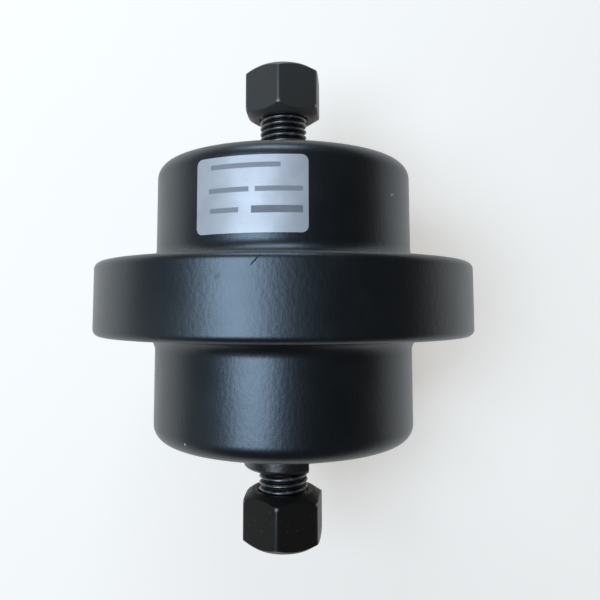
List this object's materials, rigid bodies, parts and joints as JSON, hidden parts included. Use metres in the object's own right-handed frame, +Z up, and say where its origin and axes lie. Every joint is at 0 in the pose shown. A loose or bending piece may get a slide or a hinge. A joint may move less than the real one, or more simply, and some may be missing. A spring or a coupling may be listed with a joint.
{
  "type": "track roller",
  "caption": "Track roller for a small crawler machine: a drum with a central guide flange on an axle with threaded ends and hex nuts.",
  "frame": {"origin": "centre of the roller, on its axis and in the middle of the central flange", "axes": "+Y along the axle towards the drum that carries the label, +Z up, +X towards the side of the axle's flats; the roller turns about Y"},
  "size_m": [0.122, 0.159, 0.122],
  "materials": {
    "black_paint": "semi-gloss black paint over a forged and turned steel shell",
    "axle_steel": "turned steel, oiled and darkened, with a little rust",
    "nut_steel": "black oxide, satin",
    "spring_steel": "phosphated spring steel",
    "seal_iron": "turned and lapped cast iron",
    "nitrile": "matt black nitrile rubber",
    "bronze": "turned bronze",
    "label_foil": "matt silver foil label with plain printed rules, no lettering"
  },
  "bodies": {
    "axle": {"axle": "axle_steel", "oil_plug": "bronze", "left_collar": "seal_iron", "right_collar": "seal_iron", "left_snap_ring": "spring_steel", "right_snap_ring": "spring_steel", "left_collar_o_ring": "nitrile", "right_collar_o_ring": "nitrile", "left_static_seal_ring": "seal_iron", "right_static_seal_ring": "seal_iron", "left_static_toric": "nitrile", "right_static_toric": "nitrile"},
    "roller": {"roller_shell": "black_paint", "left_bush": "bronze", "right_bush": "bronze", "left_rotating_seal_ring": "seal_iron", "right_rotating_seal_ring": "seal_iron", "left_rotating_toric": "nitrile", "right_rotating_toric": "nitrile", "label": "label_foil"},
    "left_nut": {"left_nut": "nut_steel"},
    "right_nut": {"right_nut": "nut_steel"}
  },
  "joints": [
    {"name": "roller_spin", "type": "hinge", "parent": "axle", "child": "roller", "pos_m": [0, 0, 0], "axis": [0, 1, 0], "continuous": true},
    {"name": "left_nut_off", "type": "slide", "parent": "axle", "child": "left_nut", "axis": [0, -1, 0], "range_m": [-0.006, 0.016]},
    {"name": "right_nut_off", "type": "slide", "parent": "axle", "child": "right_nut", "axis": [0, 1, 0], "range_m": [-0.006, 0.016]}
  ]
}
